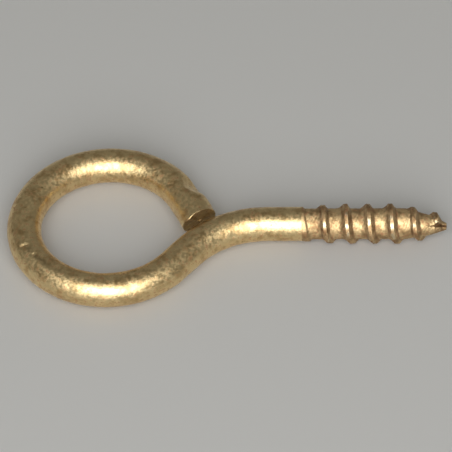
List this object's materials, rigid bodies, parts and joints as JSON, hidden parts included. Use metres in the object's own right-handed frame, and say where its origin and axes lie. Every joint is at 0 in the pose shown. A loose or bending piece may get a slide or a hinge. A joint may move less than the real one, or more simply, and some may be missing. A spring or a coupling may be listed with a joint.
{
  "type": "screw eye",
  "caption": "Screw eye bent from round wire: an open ring eye on a gently cranked neck, with a coarse tapered wood thread and gimlet point to hang or tie things from timber.",
  "frame": {"origin": "on the screw's axis, where the plain shank meets the thread", "axes": "+X along the screw's axis towards the point, eye towards -X, +Z square to the flat plane that the wire is bent in"},
  "size_m": [0.0509, 0.0235, 0.0046],
  "materials": {
    "plated_wire": "drawn wire, brass plated, slightly tarnished satin",
    "rolled_thread": "thread rolled before plating, brass plated, duller in the grooves"
  },
  "bodies": {
    "root": {"eye_ring": "plated_wire", "cut_end": "plated_wire", "neck_leg": "plated_wire", "neck_bend": "plated_wire", "shank": "plated_wire", "screw_thread": "rolled_thread", "gimlet_point": "rolled_thread"}
  },
  "joints": []
}
